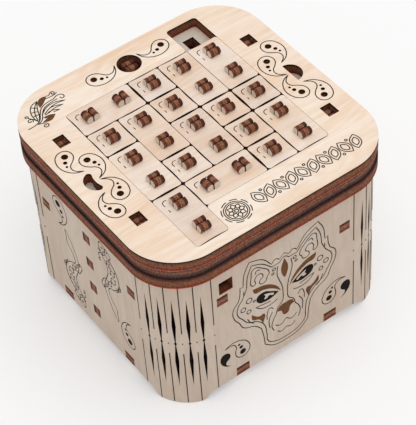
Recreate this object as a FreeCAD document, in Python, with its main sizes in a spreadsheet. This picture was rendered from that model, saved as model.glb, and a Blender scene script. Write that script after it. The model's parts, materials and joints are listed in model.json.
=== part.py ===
import FreeCAD
import Part
import Sketcher
import math
import os

# Wooden puzzle box cut from one thickness of plywood: a case with bent rounded corners, and a hinged
# lid of three plates that holds a tray of sliding tiles.
# Millimetres. +Z is up, -Y is the front. Shapes are drawn about the middle of the tile tray, then
# every piece is moved by tray_shift so that the origin is the bottom centre of the whole box,
# hinge included.

doc = FreeCAD.newDocument("puzzle_box")

SIZES = [
    ("ply", 4.0, "thickness of every plywood plate"),
    ("cell", 12.0, "pitch of the tile tray"),
    ("lid_size", 92.0, "side of the lid's top plate"),
    ("lid_corner", 18.0, "corner radius of the lid"),
    ("floor_inset", 0.6, "how far the tray floor's edge stands back from the lid's edge"),
    ("wall_inset", 1.5, "how far the walls stand back from the lid's edge"),
    ("wall_height", 59.0, "top of the walls above the table"),
    ("arch_height", 3.5, "rise of the arch between two feet"),
    ("arch_half", 28.5, "half length of the arch's flat stretch"),
    ("arch_run", 6.5, "length of the curve from arch to foot"),
    ("joint_gap", 0.05, "gap round pieces that are glued or pushed together"),
    ("tile_gap", 0.2, "gap between two neighbouring tiles"),
    ("tile_bow", 0.36, "how far a one-cell side of a tile is hollowed"),
    ("tile_corner", 1.0, "corner radius of a tile"),
    ("pocket_corner", 1.3, "corner radius of the tray"),
    ("clip_width", 3.9, "width of a clip across its two prongs"),
    ("clip_slit", 0.5, "slit between the two prongs"),
    ("slit_depth", 5.0, "depth of the slit below the prong heads"),
    ("head_radius", 1.25, "radius of a prong's rounded head"),
    ("head_offset", 1.2, "distance of a head's centre from the clip's middle"),
    ("foot_width", 6.4, "width of a clip's foot"),
    ("foot_height", 2.4, "height of a clip's foot"),
    ("slot_play", 0.15, "play of a clip in the tray floor's slots"),
    ("washer_gap", 1.0, "gap between the rim and a square washer under the tray floor"),
    ("washer_play", 0.1, "play between a washer and the tray floor"),
    ("rim_margin", 1.0, "how far the rim reaches in under the tray's edge"),
    ("lid_clip_x", 37.0, "clips that hold the lid's plates, across"),
    ("lid_clip_y", 21.2, "clips that hold the lid's plates, front to back"),
    ("well_gap", 0.1, "gap between the well clip's foot and the back wall"),
    ("well_radius", 4.2, "radius of the round well"),
    ("well_lift", 5.2, "height of the well clip's seat above the rim"),
    ("finger_x", 37.8, "straight side of the two finger holes"),
    ("finger_radius", 4.2, "radius of the two finger holes"),
    ("finger_hollow", 0.6, "how far the left finger hole's straight side is hollowed"),
    ("finger_corner", 1.2, "corner radius of the left finger hole"),
    ("outer_drop_x", 40.1, "outer drop ornaments, across"),
    ("outer_drop_y", 14.7, "outer drop ornaments, front to back"),
    ("inner_drop_x", 35.3, "inner drop ornaments, across"),
    ("inner_drop_y", 9.2, "inner drop ornaments, front to back"),
    ("back_drop_x", 13.35, "back drop ornaments, across"),
    ("back_drop_y", 38.15, "back drop ornaments, front to back"),
    ("drop_big", 1.15, "radius of the largest hole in a drop"),
    ("drop_middle", 0.7, "radius of the middle hole in a drop"),
    ("drop_small", 0.45, "radius of the smallest hole in a drop"),
    ("base_tab", 18.0, "place of the base plate's tabs along a wall"),
    ("base_tab_width", 5.2, "width of the base plate's tabs"),
    ("ledge_drop", 12.4, "depth of the two ledges below the walls' top"),
    ("ledge_width", 7.5, "width of the two ledges"),
    ("ledge_corner", 5.0, "inner corner radius of the two ledges"),
    ("ledge_tab", 24.2, "place of the ledges' tabs along a wall"),
    ("tab_width", 4.2, "width of the ledges' and the divider's tabs"),
    ("divider_drop", 4.0, "depth of the divider's top below the walls' top"),
    ("divider_tab_drop", 10.3, "depth of the divider's highest tab below the walls' top"),
    ("divider_tab_step", 12.0, "spacing of the divider's tabs"),
    ("divider_foot_x", 18.0, "place of the divider's feet in the base plate"),
    ("divider_foot_width", 8.0, "width of the divider's feet"),
    ("window_x", 22.6, "distance of the lock window from the middle"),
    ("window_width", 5.2, "width of the lock window"),
    ("window_drop", 6.0, "depth of the lock window's upper edge below the walls' top"),
    ("tongue_gap", 1.4, "gap between the lock tongue and the ledge below it"),
    ("seam_x", 28.0, "half width of the back wall"),
    ("spindle_above", 7.0, "distance of a bending slot's upper end from the walls' top"),
    ("spindle_below", 9.0, "height of a bending slot's lower end"),
    ("spindle_width", 1.3, "greatest width of a bending slot"),
    ("spindle_step", 15.8, "angle between two bending slots, in degrees"),
    ("hinge_gap", 4.5, "distance of the hinge axis behind the lid"),
    ("pin_radius", 1.5, "radius of the hinge pin"),
    ("pin_play", 0.08, "radial play of the pin in the lid's ears"),
    ("knuckle_radius", 4.0, "radius of a hinge knuckle"),
    ("ear_x", 7.0, "inner face of the case's hinge ears"),
    ("ear_play", 0.3, "side play between two hinge ears"),
    ("ear_tab_drop", 9.5, "depth of the ear's tab below the walls' top"),
    ("ear_tab_depth", 5.5, "depth of the lid ear's tab in the rim"),
]

sheet = doc.addObject("Spreadsheet::Sheet", "sizes")
for row, (alias, number, meaning) in enumerate(SIZES, start=1):
    sheet.set(f"A{row}", meaning)
    sheet.set(f"B{row}", str(number))
    sheet.setAlias(f"B{row}", alias)
doc.recompute()


class Size:
    """A length that knows its number and the spreadsheet expression that gives it."""

    def __init__(self, value, text):
        self.value = float(value)
        self.text = text

    def __add__(self, other):
        other = as_size(other)
        return Size(self.value + other.value, f"({self.text} + {other.text})")

    def __sub__(self, other):
        other = as_size(other)
        return Size(self.value - other.value, f"({self.text} - {other.text})")

    def __mul__(self, other):
        other = as_size(other)
        return Size(self.value * other.value, f"({self.text} * {other.text})")

    def __truediv__(self, other):
        other = as_size(other)
        return Size(self.value / other.value, f"({self.text} / {other.text})")

    def __radd__(self, other):
        return as_size(other) + self

    def __rsub__(self, other):
        return as_size(other) - self

    def __rmul__(self, other):
        return as_size(other) * self

    def __neg__(self):
        return self * -1


def as_size(number):
    return number if isinstance(number, Size) else Size(number, f"({float(number)})")


def root(size):
    return Size(math.sqrt(size.value), f"sqrt({size.text})")


def larger(first, second):
    return Size(max(first.value, second.value), f"max({first.text}; {second.text})")


def named(alias):
    return Size(sheet.get(alias), f"sizes.{alias}")


ply = named("ply")
cell = named("cell")
lid_half = named("lid_size") / 2
lid_corner = named("lid_corner")
joint_gap = named("joint_gap")
wall_height = named("wall_height")
wall_half = lid_half - named("wall_inset")
wall_corner = lid_corner - named("wall_inset")
inner_half = wall_half - ply
inner_corner = wall_corner - ply
arch_height = named("arch_height")
rim_bottom = wall_height
floor_bottom = rim_bottom + ply
top_bottom = floor_bottom + ply
lid_top = top_bottom + ply
well_y = inner_half - named("foot_width") / 2 - named("well_gap")
hinge_y = lid_half + named("hinge_gap")
hinge_z = rim_bottom
knuckle = named("knuckle_radius")
tray_shift = (lid_half - hinge_y - knuckle) / 2
ledge_top = wall_height - named("ledge_drop")
shank = larger(ply, named("clip_width"))
slot_half = shank / 2 + named("slot_play")
hole_half = ply / 2 + joint_gap
clip_hole_half = named("clip_width") / 2 + joint_gap
TAU = 2 * math.pi


# Sketching -----------------------------------------------------------------------------------------

def new_body(label):
    body = doc.addObject("PartDesign::Body", label)
    body.Label = label
    body.setExpression("Placement.Base.y", tray_shift.text)
    return body


def sketch_on(body, plane, height):
    """An empty sketch on one of the body's own origin planes, lifted by height along its normal.
    XY_Plane faces +Z, XZ_Plane faces -Y and YZ_Plane faces +X."""
    sketch = body.newObject("Sketcher::SketchObject", f"{body.Label}_sketch")
    support = [item for item in body.Origin.OriginFeatures if item.Role == plane][0]
    sketch.AttachmentSupport = [(support, "")]
    sketch.MapMode = "FlatFace"
    sketch.setExpression("AttachmentOffset.Base.z", as_size(height).text)
    return sketch


def pin_point(sketch, geometry, vertex, point):
    """Fixes a point of the sketch at its named place."""
    for kind, size in zip(("DistanceX", "DistanceY"), point):
        size = as_size(size)
        row = sketch.addConstraint(
            Sketcher.Constraint(kind, -1, 1, geometry, vertex, size.value)
        )
        sketch.setExpression(f"Constraints[{row}]", size.text)


def set_radius(sketch, geometry, radius):
    row = sketch.addConstraint(Sketcher.Constraint("Radius", geometry, radius.value))
    sketch.setExpression(f"Constraints[{row}]", radius.text)


def add_circle(sketch, x, y, radius):
    middle = FreeCAD.Vector(as_size(x).value, as_size(y).value, 0)
    up = FreeCAD.Vector(0, 0, 1)
    geometry = sketch.addGeometry(Part.Circle(middle, up, radius.value))
    pin_point(sketch, geometry, 3, (x, y))
    set_radius(sketch, geometry, radius)


def add_arc(sketch, first, last, radius, turns_left):
    """An arc of less than half a turn. Returns its number and its vertices for first and last."""
    chord = last - first
    rise = math.sqrt(max(radius**2 - (chord.Length / 2) ** 2, 0.0))
    left = FreeCAD.Vector(-chord.y, chord.x, 0).normalize()
    middle = (first + last) / 2 + left * (rise if turns_left else -rise)
    begin, end = (first, last) if turns_left else (last, first)
    angles = [math.atan2(p.y - middle.y, p.x - middle.x) % TAU for p in (begin, end)]
    if angles[1] <= angles[0]:
        angles[1] += TAU
    circle = Part.Circle(middle, FreeCAD.Vector(0, 0, 1), radius)
    geometry = sketch.addGeometry(Part.ArcOfCircle(circle, angles[0], angles[1]))
    return (geometry, 1, 2) if turns_left else (geometry, 2, 1)


def add_outline(sketch, points):
    """A closed outline. Each point is (x, y), or (x, y, radius) when an arc leads to it; a positive
    radius turns left."""
    def place(point):
        return FreeCAD.Vector(as_size(point[0]).value, as_size(point[1]).value, 0)

    edges = []
    for before, point in zip([points[-1]] + points[:-1], points):
        first, last = place(before), place(point)
        if len(point) == 2:
            edges.append((sketch.addGeometry(Part.LineSegment(first, last)), 1, 2))
            continue
        radius = as_size(point[2])
        size = radius if radius.value > 0 else -radius
        edges.append(add_arc(sketch, first, last, size.value, radius.value > 0))
        set_radius(sketch, edges[-1][0], size)
    for (geometry, _, end), (following, start, _) in zip(edges, edges[1:] + edges[:1]):
        sketch.addConstraint(Sketcher.Constraint("Coincident", geometry, end, following, start))
    for (geometry, _, end), point in zip(edges, points):
        pin_point(sketch, geometry, end, point[:2])


def rounded(points, radius):
    """Turns an outline of right-angled corners into one with rounded corners."""
    def sign(difference):
        return (difference.value > 0) - (difference.value < 0)

    result = []
    for before, corner, after in zip([points[-1]] + points[:-1], points, points[1:] + points[:1]):
        x, y = as_size(corner[0]), as_size(corner[1])
        came = (sign(x - before[0]), sign(y - before[1]))
        goes = (sign(after[0] - x), sign(after[1] - y))
        turn = came[0] * goes[1] - came[1] * goes[0]
        result.append((x - radius * came[0], y - radius * came[1]))
        result.append((x + radius * goes[0], y + radius * goes[1], radius * turn))
    return result


def box_points(x, y, half_x, half_y):
    x, y = as_size(x), as_size(y)
    return [
        (x - half_x, y - half_y),
        (x + half_x, y - half_y),
        (x + half_x, y + half_y),
        (x - half_x, y + half_y),
    ]


def add_box(sketch, x, y, half_x, half_y):
    add_outline(sketch, box_points(x, y, as_size(half_x), as_size(half_y)))


def add_span(sketch, left, right, bottom, top):
    """A rectangle given by its four sides."""
    add_outline(sketch, [(left, bottom), (right, bottom), (right, top), (left, top)])


def pad(body, sketch, length):
    feature = body.newObject("PartDesign::Pad", f"{body.Label}_pad")
    feature.Profile = sketch
    feature.setExpression("Length", as_size(length).text)
    doc.recompute()
    return feature


def pocket(body, sketch, length):
    """Cuts from the sketch against its normal, and makes sure that something was cut."""
    before = body.Shape.Volume
    feature = body.newObject("PartDesign::Pocket", f"{body.Label}_pocket")
    feature.Profile = sketch
    feature.setExpression("Length", as_size(length).text)
    doc.recompute()
    if body.Shape.Volume > before - 0.01:
        raise RuntimeError(f"a pocket of {body.Label} cuts nothing")
    return feature


def round_edges(body, base, radius):
    """Rounds every upright edge of the feature."""
    edges = []
    for number, edge in enumerate(base.Shape.Edges, start=1):
        ends = [vertex.Point for vertex in edge.Vertexes]
        flat = (ends[1] - ends[0]) if len(ends) == 2 else FreeCAD.Vector(1, 0, 0)
        if math.hypot(flat.x, flat.y) < 1e-6:
            edges.append(f"Edge{number}")
    fillet = body.newObject("PartDesign::Fillet", f"{body.Label}_fillet")
    fillet.Base = (base, edges)
    fillet.setExpression("Radius", radius.text)
    doc.recompute()


# Lid -----------------------------------------------------------------------------------------------

COLUMNS = 5
ROWS = 5


def cell_x(column):
    """Middle of a column, counted from 0 at the left."""
    return cell * (column - (COLUMNS - 1) / 2)


def cell_y(row):
    """Middle of a row, counted from 0 at the back."""
    return cell * ((ROWS - 1) / 2 - row)


def tray_points(margin):
    """The tray with its two pockets: one behind the last column, one before the first."""
    side = cell * (COLUMNS / 2) + margin
    end = cell * (ROWS / 2) + margin
    pocket_side = cell * (COLUMNS / 2 - 1) - margin
    pocket_end = cell * (ROWS / 2 + 1) + margin
    return [
        (-side, -pocket_end),
        (-pocket_side, -pocket_end),
        (-pocket_side, -end),
        (side, -end),
        (side, pocket_end),
        (pocket_side, pocket_end),
        (pocket_side, end),
        (-side, end),
    ]


def lid_outline(sketch, inset):
    half = lid_half - inset
    add_outline(sketch, rounded(box_points(0, 0, half, half), lid_corner - inset))


def add_lid_clip_holes(sketch, half_y):
    for side_x in (-1, 1):
        for side_y in (-1, 1):
            x = named("lid_clip_x") * side_x
            y = named("lid_clip_y") * side_y
            add_box(sketch, x, y, hole_half, half_y)


def drop_holes(x, y, across, along):
    """The three holes of a drop ornament: its head is at x, y and its tail leads away along the
    second direction, bent towards the first."""
    places = [(0.0, 0.0, "drop_big"), (1.27, 2.3, "drop_middle"), (1.78, 4.05, "drop_small")]
    for bend, reach, radius in places:
        place_x = x + across[0] * bend + along[0] * reach
        place_y = y + across[1] * bend + along[1] * reach
        yield place_x, place_y, named(radius)


def lid_drops():
    """Head, bend direction and tail direction of the ten drop ornaments on the lid."""
    for side in (-1, 1):
        for end in (-1, 1):
            outer_y, inner_y = named("outer_drop_y") * end, named("inner_drop_y") * end
            yield named("outer_drop_x") * side, outer_y, (side, 0), (0, -end)
            yield named("inner_drop_x") * side, inner_y, (-side, 0), (0, -end)
        yield named("back_drop_x") * side, named("back_drop_y"), (0, -1), (-side, 0)


def make_top_plate():
    body = new_body("top_plate")
    sketch = sketch_on(body, "XY_Plane", top_bottom)
    lid_outline(sketch, as_size(0))
    pad(body, sketch, ply)
    sketch = sketch_on(body, "XY_Plane", lid_top)
    add_outline(sketch, rounded(tray_points(as_size(0)), named("pocket_corner")))
    pocket(body, sketch, ply)
    sketch = sketch_on(body, "XY_Plane", lid_top)
    add_lid_clip_holes(sketch, named("head_offset") + named("head_radius") + joint_gap)
    add_circle(sketch, 0, well_y, named("well_radius"))
    for x, y, across, along in lid_drops():
        for hole_x, hole_y, radius in drop_holes(x, y, across, along):
            add_circle(sketch, hole_x, hole_y, radius)
    pocket(body, sketch, ply)
    sketch = sketch_on(body, "XY_Plane", lid_top)
    add_moon(sketch)
    add_bean(sketch)
    pocket(body, sketch, ply)
    return body


def add_moon(sketch):
    """Half-round finger hole on the right."""
    x, radius = named("finger_x"), named("finger_radius")
    add_outline(sketch, [(x, -radius), (x + radius, 0, radius), (x, radius, radius)])


def add_bean(sketch):
    """Bean-shaped finger hole on the left: the same round side, a hollow straight side and round
    corners."""
    x, radius = -named("finger_x"), named("finger_radius")
    corner, bow = named("finger_corner"), named("finger_hollow")
    end = radius - corner
    hollow = -(end * end + bow * bow) / (2 * bow)
    add_outline(
        sketch,
        [
            (x - radius, 0, radius),
            (x - corner, -radius, radius),
            (x, -end, corner),
            (x, end, hollow),
            (x - corner, radius, corner),
        ],
    )


def make_tray_floor():
    body = new_body("tray_floor")
    sketch = sketch_on(body, "XY_Plane", floor_bottom)
    lid_outline(sketch, named("floor_inset"))
    pad(body, sketch, ply)
    sketch = sketch_on(body, "XY_Plane", top_bottom)
    for column in range(COLUMNS):
        first = cell_y(ROWS if column == 0 else ROWS - 1) - slot_half
        last = cell_y(-1 if column == COLUMNS - 1 else 0) + slot_half
        x = cell_x(column)
        add_span(sketch, x - slot_half, x + slot_half, first, last)
    add_lid_clip_holes(sketch, clip_hole_half)
    add_circle(sketch, 0, well_y, named("well_radius"))
    pocket(body, sketch, ply)
    sketch = sketch_on(body, "XY_Plane", top_bottom)
    add_box(sketch, 0, 0, cell_x(COLUMNS - 1) + slot_half, slot_half)
    pocket(body, sketch, ply)
    return body


def ear_side(side):
    """Inner and outer face of the lid's ear on one side."""
    inner = named("ear_x") + ply + named("ear_play")
    return (inner, inner + ply) if side > 0 else (-inner - ply, -inner)


def make_lid_rim():
    body = new_body("lid_rim")
    sketch = sketch_on(body, "XY_Plane", rim_bottom)
    lid_outline(sketch, as_size(0))
    pad(body, sketch, ply)
    sketch = sketch_on(body, "XY_Plane", floor_bottom)
    add_outline(sketch, rounded(tray_points(-named("rim_margin")), named("pocket_corner")))
    add_lid_clip_holes(sketch, clip_hole_half)
    add_box(sketch, 0, well_y, hole_half, clip_hole_half)
    pocket(body, sketch, ply)
    sketch = sketch_on(body, "XY_Plane", floor_bottom)
    for side in (-1, 1):
        left, right = ear_side(side)
        front = lid_half - named("ear_tab_depth") - joint_gap
        add_span(sketch, left - joint_gap, right + joint_gap, front, lid_half + ply)
    pocket(body, sketch, ply)
    return body


# Clips and washers ---------------------------------------------------------------------------------

def prong_points(seat_top, side):
    """One prong's outline above its seat, from its outer side to the slit."""
    radius, offset = named("head_radius"), named("head_offset")
    half, slit = named("clip_width") / 2, named("clip_slit") / 2
    middle = seat_top + radius
    meets = middle - root(radius * radius - (half - offset) * (half - offset))
    leaves = middle + root(radius * radius - (offset - slit) * (offset - slit))
    if side > 0:
        return [
            (half, meets),
            (offset, middle + radius, radius),
            (slit, leaves, radius),
            (slit, seat_top - named("slit_depth")),
        ]
    return [
        (-slit, seat_top - named("slit_depth")),
        (-slit, leaves),
        (-offset, middle + radius, radius),
        (-half, meets, radius),
    ]


def make_clip(label, seat_top, leg=None):
    """A two-pronged clip at the origin, holding what lies between the rim's underside and seat_top.
    A leg, given by its lower end, makes it the lock tongue."""
    body = new_body(label)
    foot = named("foot_width") / 2
    half = named("clip_width") / 2
    foot_bottom = rim_bottom - named("foot_height")
    if leg is None:
        start = [(-foot, foot_bottom), (foot, foot_bottom)]
    else:
        start = [(-foot, leg), (half, leg), (half, foot_bottom), (foot, foot_bottom)]
    sketch = sketch_on(body, "YZ_Plane", -ply / 2)
    add_outline(
        sketch,
        start
        + [(foot, rim_bottom), (half, rim_bottom)]
        + prong_points(seat_top, 1)
        + prong_points(seat_top, -1)
        + [(-half, rim_bottom), (-foot, rim_bottom)],
    )
    pad(body, sketch, ply)
    return body


def make_washer():
    body = new_body("washer")
    half = cell / 2 - named("rim_margin") - named("washer_gap")
    sketch = sketch_on(body, "XY_Plane", rim_bottom)
    add_box(sketch, 0, 0, half, half)
    pad(body, sketch, ply - named("washer_play"))
    sketch = sketch_on(body, "XY_Plane", floor_bottom)
    add_box(sketch, 0, 0, shank / 2 + joint_gap, shank / 2 + joint_gap)
    pocket(body, sketch, ply)
    return body


def copies(label, master, places):
    """One node of separate copies of a master piece. Each place is (x, y, turned), and a turned copy
    faces sideways."""
    shapes = []
    for x, y, turned in places:
        shape = master.Shape.copy()
        shape.Placement = FreeCAD.Placement(
            FreeCAD.Vector(as_size(x).value, as_size(y).value, 0),
            FreeCAD.Rotation(FreeCAD.Vector(0, 0, 1), 90 if turned else 0),
        )
        shapes.append(shape)
    group = doc.addObject("Part::Feature", label)
    group.Label = label
    group.Shape = Part.makeCompound(shapes)
    group.setExpression("Placement.Base.y", tray_shift.text)
    return group


# Tiles ---------------------------------------------------------------------------------------------

# Column and row of a tile's first cell, and how many cells it spans across and towards the front.
TILES = [
    (0, 0, 2, 1), (2, 0, 1, 1), (3, 0, 1, 2), (4, 0, 1, 2), (2, 1, 1, 1), (1, 1, 1, 2),
    (0, 1, 1, 1), (2, 2, 1, 2), (0, 2, 1, 2), (1, 3, 1, 1), (1, 4, 2, 1), (0, 4, 1, 2),
    (4, 2, 1, 1), (3, 2, 1, 1), (4, 3, 1, 2), (3, 3, 1, 1), (3, 4, 1, 1),
]
FIRST_TILE = (4, 0, 1, 2)
LOCK_TILE = (0, 4, 1, 2)


def tile_name(tile):
    column, row, across, along = tile
    if tile == FIRST_TILE:
        return "first_tile"
    if tile == LOCK_TILE:
        return "lock_tile"
    kind = "square_tile" if across == along else "long_tile"
    return f"{kind}_column_{column + 1}_row_{row + 1}"


def tile_cells(tile):
    """Middle of each of a tile's cells, and whether its clips face sideways."""
    column, row, across, along = tile
    for step_x in range(across):
        for step_y in range(along):
            yield cell_x(column + step_x), cell_y(row + step_y), across > along


def make_tile(tile):
    """A tile: its one-cell sides are hollow, its two-cell sides straight."""
    column, row, across, along = tile
    body = new_body(tile_name(tile))
    play = named("tile_gap") / 2
    left = cell_x(column) - cell / 2 + play
    right = cell_x(column + across - 1) + cell / 2 - play
    back = cell_y(row) + cell / 2 - play
    front = cell_y(row + along - 1) - cell / 2 + play
    side = cell - named("tile_gap")
    bow = named("tile_bow")
    hollow = -(side * side / 4 + bow * bow) / (2 * bow)
    short_x = (hollow,) if across == 1 else ()
    short_y = (hollow,) if along == 1 else ()
    sketch = sketch_on(body, "XY_Plane", top_bottom)
    add_outline(
        sketch,
        [
            (left, front) + short_y,
            (right, front) + short_x,
            (right, back) + short_y,
            (left, back) + short_x,
        ],
    )
    round_edges(body, pad(body, sketch, ply), named("tile_corner"))
    sketch = sketch_on(body, "XY_Plane", lid_top)
    for x, y, turned in tile_cells(tile):
        half_x, half_y = hole_half, clip_hole_half
        if turned:
            half_x, half_y = half_y, half_x
        add_box(sketch, x, y, half_x, half_y)
    pocket(body, sketch, ply)
    return body


# Case ----------------------------------------------------------------------------------------------

def divider_tab_heights():
    """As many tabs as fit between the highest one and the base plate."""
    highest = wall_height - named("divider_tab_drop")
    room = highest - arch_height - ply * 1.25 - named("tab_width") / 2
    for step in range(1 + int(room.value / named("divider_tab_step").value)):
        yield highest - named("divider_tab_step") * step


def add_tab_holes(sketch):
    """Holes for the ledges' tabs and notches for the base plate's, the same in every wall."""
    tab = named("tab_width") / 2
    base_tab = named("base_tab_width") / 2
    for side in (-1, 1):
        add_box(sketch, named("ledge_tab") * side, ledge_top - ply / 2, tab, ply / 2)
        x = named("base_tab") * side
        add_span(sketch, x - base_tab, x + base_tab, arch_height - ply / 4, arch_height + ply)


def add_arch(sketch):
    """The space below a wall, with a double curve down to each foot."""
    flat, run = named("arch_half"), named("arch_run")
    half_run, half_rise = run / 2, arch_height / 2
    curve = (half_run * half_run + half_rise * half_rise) / arch_height
    end = flat + run
    middle = flat + half_run
    add_outline(
        sketch,
        [
            (-end, -ply),
            (end, -ply),
            (end, 0),
            (middle, half_rise, -curve),
            (flat, arch_height, curve),
            (-flat, arch_height),
            (-middle, half_rise, curve),
            (-end, 0, -curve),
        ],
    )


def spindle_cutters():
    """Pointed slots through the four corners, which let the plywood bend."""
    top = (wall_height - named("spindle_above")).value
    bottom = named("spindle_below").value
    long, wide = (top - bottom) / 2, named("spindle_width").value / 2
    waist = wide / 4
    side = [(0, long), (wide, long * 0.4), (waist, waist * 4), (wide * 0.8, 0)]
    right = side + [(w, -z) for w, z in reversed(side[:-1])]
    outline = right + [(-w, z) for w, z in reversed(right[1:-1])]
    points = [FreeCAD.Vector(0, w, z + (top + bottom) / 2) for w, z in outline]
    face = Part.Face(Part.makePolygon(points + points[:1]))
    reach = wall_corner.value + ply.value
    cutter = face.extrude(FreeCAD.Vector(reach, 0, 0))
    centre = (wall_half - wall_corner).value
    for quarter in range(4):
        middle = math.radians(45 + 90 * quarter)
        side_x, side_y = math.copysign(1, math.cos(middle)), math.copysign(1, math.sin(middle))
        for step in range(-2, 3):
            angle = 45 + 90 * quarter + step * named("spindle_step").value
            shape = cutter.copy()
            shape.Placement = FreeCAD.Placement(
                FreeCAD.Vector(centre * side_x, centre * side_y, 0),
                FreeCAD.Rotation(FreeCAD.Vector(0, 0, 1), angle),
            )
            yield shape


def make_wall_wrap():
    """Left, front and right walls with all four bent corners, in one strip of plywood."""
    body = doc.addObject("PartDesign::Body", "wall_strip")
    outside = wall_half + ply
    sketch = sketch_on(body, "XY_Plane", as_size(0))
    add_outline(sketch, rounded(box_points(0, 0, wall_half, wall_half), wall_corner))
    add_outline(sketch, rounded(box_points(0, 0, inner_half, inner_half), inner_corner))
    pad(body, sketch, wall_height)
    sketch = sketch_on(body, "XY_Plane", wall_height + ply)
    seam = named("seam_x")
    add_span(sketch, -seam, seam, seam, outside)
    pocket(body, sketch, wall_height + ply * 2)
    for plane in ("XZ_Plane", "YZ_Plane"):
        sketch = sketch_on(body, plane, outside)
        add_arch(sketch)
        pocket(body, sketch, outside * 2)
    sketch = sketch_on(body, "YZ_Plane", outside)
    add_tab_holes(sketch)
    for height in divider_tab_heights():
        add_box(sketch, 0, height, ply / 2, named("tab_width") / 2)
    pocket(body, sketch, outside * 2)
    sketch = sketch_on(body, "XZ_Plane", outside)
    add_tab_holes(sketch)
    half_width = named("window_width") / 2
    x = -named("window_x")
    bottom, top = ledge_top + ply / 4, wall_height - named("window_drop")
    add_span(sketch, x - half_width, x + half_width, bottom, top)
    pocket(body, sketch, ply * 3)
    cutters = doc.addObject("Part::Feature", "bending_slots")
    cutters.Shape = Part.makeCompound(list(spindle_cutters()))
    wrap = doc.addObject("Part::Cut", "wall_wrap")
    wrap.Base = body
    wrap.Tool = cutters
    wrap.Label = "wall_wrap"
    wrap.setExpression("Placement.Base.y", tray_shift.text)
    return wrap


def make_back_wall():
    body = new_body("back_wall")
    seam = named("seam_x") - joint_gap
    sketch = sketch_on(body, "XZ_Plane", -wall_half)
    add_span(sketch, -seam, seam, arch_height, wall_height)
    pad(body, sketch, ply)
    sketch = sketch_on(body, "XZ_Plane", -inner_half + ply)
    add_tab_holes(sketch)
    for side in (-1, 1):
        x = (named("ear_x") + ply / 2) * side
        add_box(sketch, x, wall_height - named("ear_tab_drop"), ply / 2, ply / 2)
    pocket(body, sketch, ply * 3)
    return body


def add_tabs(sketch, places, half_width):
    """Tabs from inside a plate out to the walls' outer faces. Each place is (x, y) in walls: the
    larger one names the wall."""
    root_at = inner_half - ply / 2
    for along, side, upright in places:
        low, high = (root_at, wall_half) if side > 0 else (-wall_half, -root_at)
        if upright:
            add_span(sketch, along - half_width, along + half_width, low, high)
        else:
            add_span(sketch, low, high, along - half_width, along + half_width)


def make_base_plate():
    body = new_body("base_plate")
    half = inner_half - joint_gap
    sketch = sketch_on(body, "XY_Plane", arch_height)
    add_outline(sketch, rounded(box_points(0, 0, half, half), inner_corner - joint_gap))
    pad(body, sketch, ply)
    sketch = sketch_on(body, "XY_Plane", arch_height)
    tabs = [
        (named("base_tab") * end, side, upright)
        for end in (-1, 1)
        for side in (-1, 1)
        for upright in (True, False)
    ]
    add_tabs(sketch, tabs, named("base_tab_width") / 2)
    pad(body, sketch, ply)
    sketch = sketch_on(body, "XY_Plane", arch_height + ply)
    for side in (-1, 1):
        half_x = named("divider_foot_width") / 2 + joint_gap
        add_box(sketch, named("divider_foot_x") * side, 0, half_x, hole_half)
    pocket(body, sketch, ply)
    return body


def make_ledge(label, end):
    """A U-shaped ledge that keeps one half of the walls in shape. end is -1 at the front."""
    body = new_body(label)
    half = inner_half - joint_gap
    bottom = ledge_top - ply
    sketch = sketch_on(body, "XY_Plane", bottom)
    add_outline(sketch, rounded(box_points(0, 0, half, half), inner_corner - joint_gap))
    pad(body, sketch, ply)
    sketch = sketch_on(body, "XY_Plane", ledge_top)
    opening = inner_half - named("ledge_width")
    add_outline(sketch, rounded(box_points(0, 0, opening, opening), named("ledge_corner")))
    pocket(body, sketch, ply)
    sketch = sketch_on(body, "XY_Plane", ledge_top)
    cut_from, cut_to = (-hole_half, wall_half) if end < 0 else (-wall_half, hole_half)
    add_span(sketch, -wall_half, wall_half, cut_from, cut_to)
    pocket(body, sketch, ply)
    sketch = sketch_on(body, "XY_Plane", bottom)
    tab = named("ledge_tab")
    tabs = [(tab * -1, end, True), (tab, end, True), (tab * end, -1, False), (tab * end, 1, False)]
    add_tabs(sketch, tabs, named("tab_width") / 2)
    pad(body, sketch, ply)
    return body


def make_divider():
    body = new_body("divider")
    side = inner_half - joint_gap
    sketch = sketch_on(body, "XZ_Plane", -ply / 2)
    add_span(sketch, -side, side, arch_height + ply, wall_height - named("divider_drop"))
    pad(body, sketch, ply)
    sketch = sketch_on(body, "XZ_Plane", -ply / 2)
    for height in divider_tab_heights():
        add_box(sketch, 0, height, wall_half, named("tab_width") / 2)
    for foot in (-1, 1):
        x = named("divider_foot_x") * foot
        half = named("divider_foot_width") / 2
        add_span(sketch, x - half, x + half, arch_height, arch_height + ply * 1.25)
    pad(body, sketch, ply)
    return body


# Hinge ---------------------------------------------------------------------------------------------

def make_lid_ear(label, side):
    body = new_body(label)
    sketch = sketch_on(body, "YZ_Plane", ear_side(side)[0])
    tab = lid_half - named("ear_tab_depth")
    add_outline(
        sketch,
        [
            (tab, hinge_z),
            (hinge_y - knuckle, hinge_z),
            (hinge_y, hinge_z - knuckle, knuckle),
            (hinge_y + knuckle, hinge_z, knuckle),
            (hinge_y, hinge_z + knuckle, knuckle),
            (lid_half + joint_gap, hinge_z + ply),
            (tab, hinge_z + ply),
        ],
    )
    add_circle(sketch, hinge_y, hinge_z, named("pin_radius") + named("pin_play"))
    pad(body, sketch, ply)
    return body


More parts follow.
